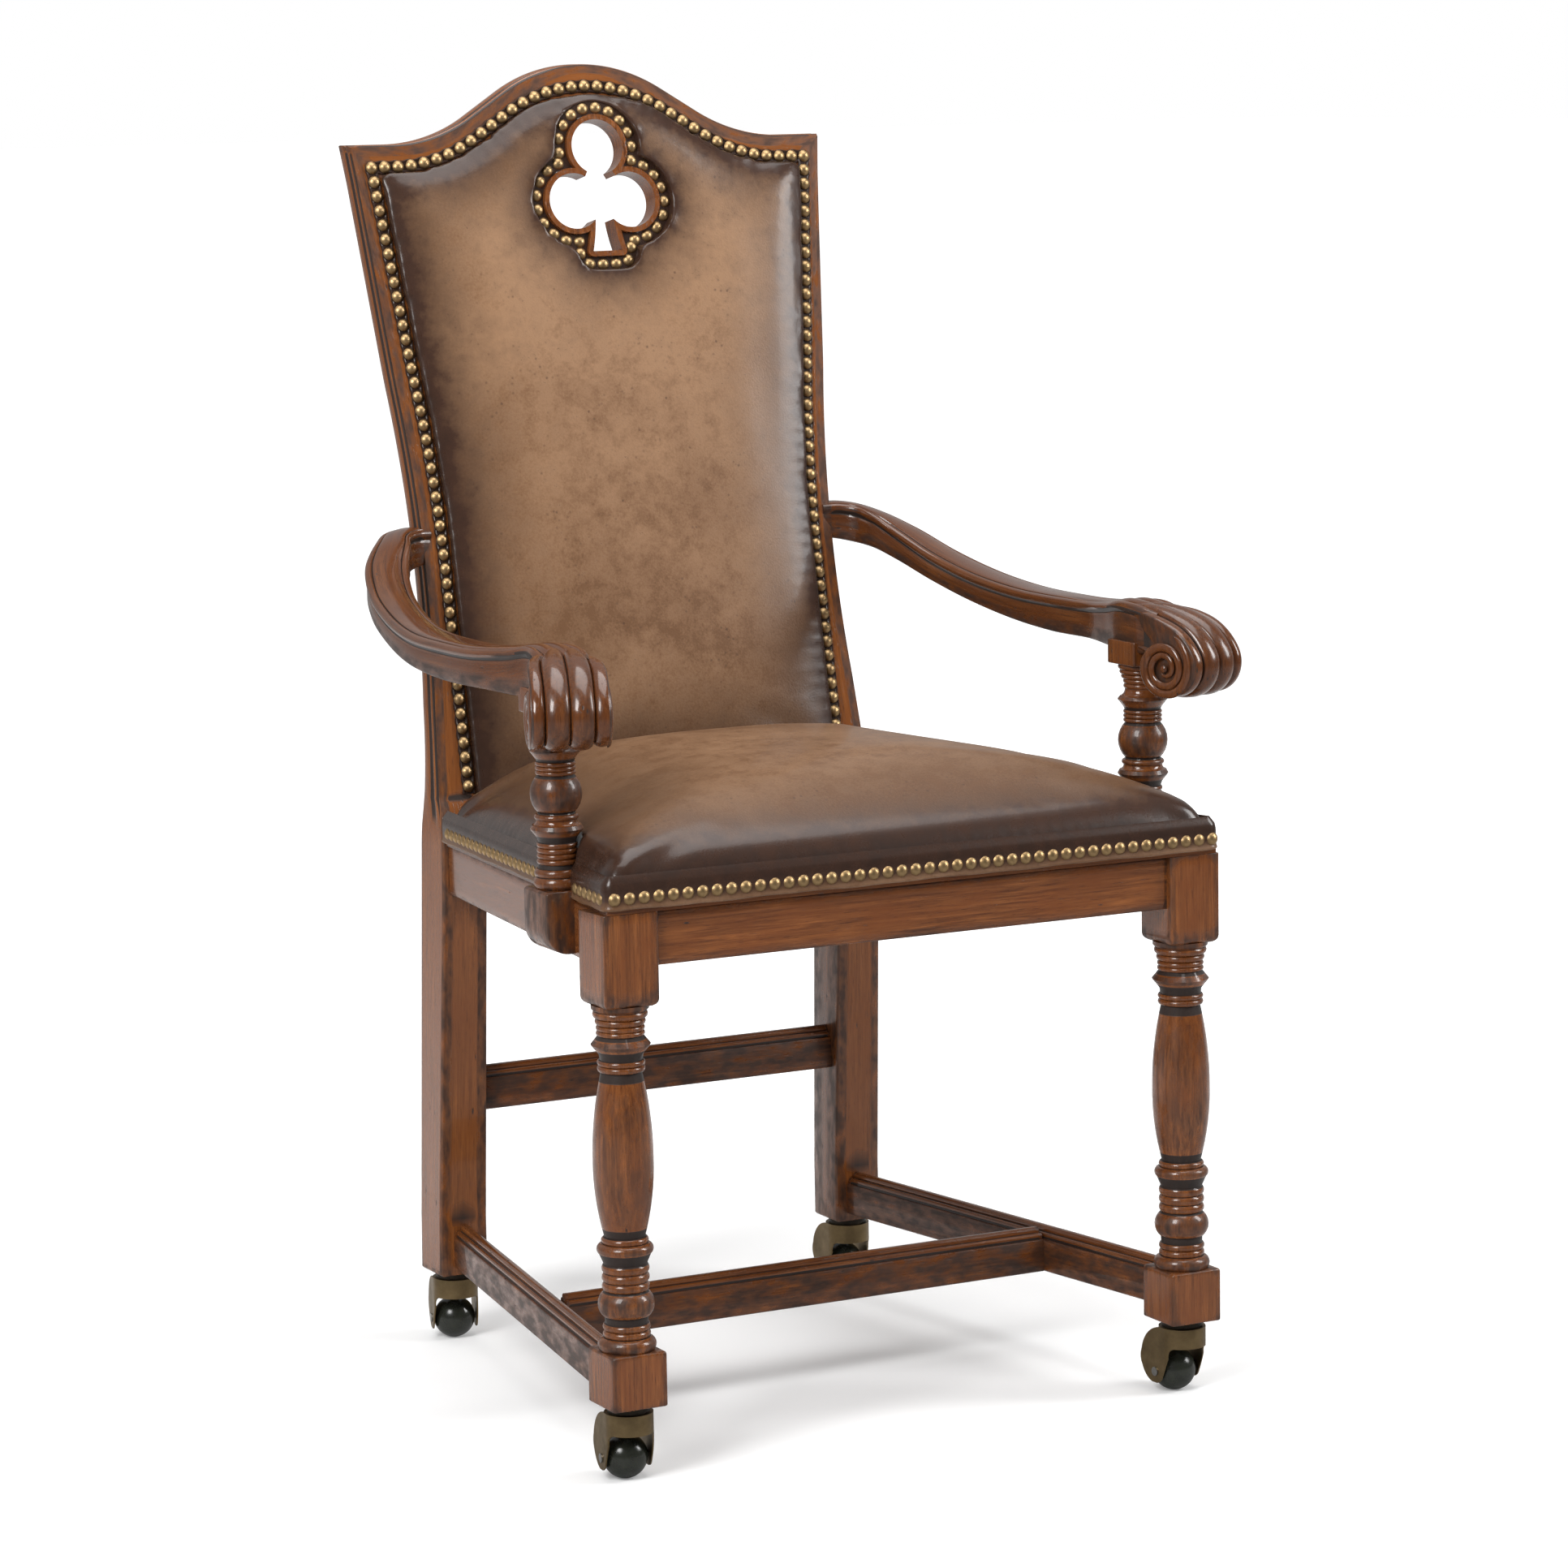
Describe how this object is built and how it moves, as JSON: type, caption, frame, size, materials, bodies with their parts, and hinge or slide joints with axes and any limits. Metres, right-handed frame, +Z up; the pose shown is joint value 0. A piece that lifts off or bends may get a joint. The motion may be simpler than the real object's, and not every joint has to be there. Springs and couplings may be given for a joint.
{
  "type": "high back armchair",
  "caption": "High back armchair with padded leather seat and back, a club cut-out, turned legs, scrolled arms and ball casters.",
  "frame": {"origin": "on the floor, under the middle of the chair's outer box", "axes": "+Z up, the chair's front faces -Y, +X is to the right of someone who looks at its front"},
  "size_m": [0.6876, 0.6661, 1.1712],
  "materials": {
    "walnut_stain": "satin, dark glaze in the grooves",
    "plain_wood": "unfinished",
    "brown_leather": "glossy, darker at the edges",
    "band_leather": "matt",
    "aged_brass": "antique",
    "dark_steel": "satin",
    "bright_steel": "plain",
    "ball_resin": "glossy"
  },
  "bodies": {
    "chair_frame": {"front_leg_left": "walnut_stain", "front_leg_right": "walnut_stain", "rear_leg_left": "walnut_stain", "rear_leg_right": "walnut_stain", "crest_rail": "walnut_stain", "club_liner": "walnut_stain", "front_seat_rail": "walnut_stain", "left_seat_rail": "walnut_stain", "right_seat_rail": "walnut_stain", "rear_seat_rail": "walnut_stain", "left_stretcher": "walnut_stain", "right_stretcher": "walnut_stain", "cross_stretcher": "walnut_stain", "rear_stretcher": "walnut_stain", "left_arm": "walnut_stain", "right_arm": "walnut_stain", "left_arm_post": "walnut_stain", "right_arm_post": "walnut_stain", "lower_back_rail": "plain_wood", "back_board": "plain_wood", "seat_deck": "plain_wood", "corner_blocks": "plain_wood", "back_pad": "brown_leather", "seat_cushion": "brown_leather", "back_cover": "brown_leather", "seat_band": "band_leather", "back_border_strip": "band_leather", "club_ring": "band_leather", "back_nails": "aged_brass", "club_nails": "aged_brass", "seat_nails": "aged_brass", "deck_screws": "bright_steel", "post_screws": "bright_steel", "caster_sockets": "dark_steel"},
    "front_left_swivel": {"front_left_caster_hood": "aged_brass", "front_left_caster_stem": "bright_steel", "front_left_caster_axle": "bright_steel"},
    "front_left_wheel": {"front_left_caster_ball": "ball_resin"},
    "front_right_swivel": {"front_right_caster_hood": "aged_brass", "front_right_caster_stem": "bright_steel", "front_right_caster_axle": "bright_steel"},
    "front_right_wheel": {"front_right_caster_ball": "ball_resin"},
    "rear_left_swivel": {"rear_left_caster_hood": "aged_brass", "rear_left_caster_stem": "bright_steel", "rear_left_caster_axle": "bright_steel"},
    "rear_left_wheel": {"rear_left_caster_ball": "ball_resin"},
    "rear_right_swivel": {"rear_right_caster_hood": "aged_brass", "rear_right_caster_stem": "bright_steel", "rear_right_caster_axle": "bright_steel"},
    "rear_right_wheel": {"rear_right_caster_ball": "ball_resin"}
  },
  "joints": [
    {"name": "front_left_caster_turn", "type": "hinge", "parent": "chair_frame", "child": "front_left_swivel", "pos_m": [-0.272, -0.3022, 0.067], "axis": [0, 0, 1], "continuous": true},
    {"name": "front_left_ball_roll", "type": "hinge", "parent": "front_left_swivel", "child": "front_left_wheel", "pos_m": [-0.27043, -0.2903, 0.0192], "axis": [0.9914, -0.1305, 0], "continuous": true},
    {"name": "front_right_caster_turn", "type": "hinge", "parent": "chair_frame", "child": "front_right_swivel", "pos_m": [0.272, -0.3022, 0.067], "axis": [0, 0, 1], "continuous": true},
    {"name": "front_right_ball_roll", "type": "hinge", "parent": "front_right_swivel", "child": "front_right_wheel", "pos_m": [0.27085, -0.29025, 0.0192], "axis": [0.9954, 0.0958, 0], "continuous": true},
    {"name": "rear_left_caster_turn", "type": "hinge", "parent": "chair_frame", "child": "rear_left_swivel", "pos_m": [-0.207, 0.20005, 0.067], "axis": [0, 0, 1], "continuous": true},
    {"name": "rear_left_ball_roll", "type": "hinge", "parent": "rear_left_swivel", "child": "rear_left_wheel", "pos_m": [-0.20379, 0.21161, 0.0192], "axis": [0.9636, -0.2672, 0], "continuous": true},
    {"name": "rear_right_caster_turn", "type": "hinge", "parent": "chair_frame", "child": "rear_right_swivel", "pos_m": [0.207, 0.20005, 0.067], "axis": [0, 0, 1], "continuous": true},
    {"name": "rear_right_ball_roll", "type": "hinge", "parent": "rear_right_swivel", "child": "rear_right_wheel", "pos_m": [0.207, 0.21205, 0.0192], "axis": [1, 0, 0], "continuous": true}
  ]
}
